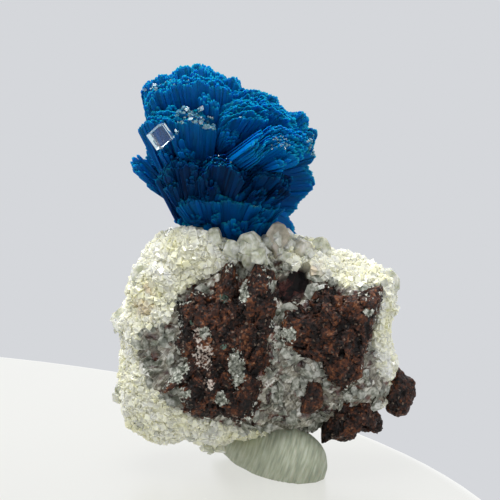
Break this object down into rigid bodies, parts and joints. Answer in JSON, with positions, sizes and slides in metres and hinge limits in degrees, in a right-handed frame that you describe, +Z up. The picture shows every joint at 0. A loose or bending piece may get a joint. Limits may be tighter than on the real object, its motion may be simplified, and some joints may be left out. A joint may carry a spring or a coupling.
{
  "type": "mineral specimen",
  "caption": "Blue cavansite rosette and a clear calcite rhomb on a pale calcite crust with brown basalt in its broken front, held upright on a flat-footed lump of grey putty.",
  "frame": {"origin": "middle of the putty's flat foot, on the plane it stands on", "axes": "+Z up from the foot to the rosette, the broken front with the basalt faces -Y, +X to the right seen from the front"},
  "size_m": [0.0281, 0.0159, 0.0369],
  "materials": {
    "calcite": "sugary, sparkling",
    "basalt": "rough, broken",
    "cavansite": "bladed, glassy",
    "clear_calcite": "clear, polished faces",
    "putty": "matte, hand-pressed"
  },
  "bodies": {
    "root": {"calcite_crust": "calcite", "basalt_left": "basalt", "basalt_right": "basalt", "basalt_sliver": "basalt", "basalt_toe": "basalt", "basalt_spur": "basalt", "cavansite_rosette": "cavansite", "calcite_rhomb": "clear_calcite", "mounting_putty": "putty"}
  },
  "joints": []
}
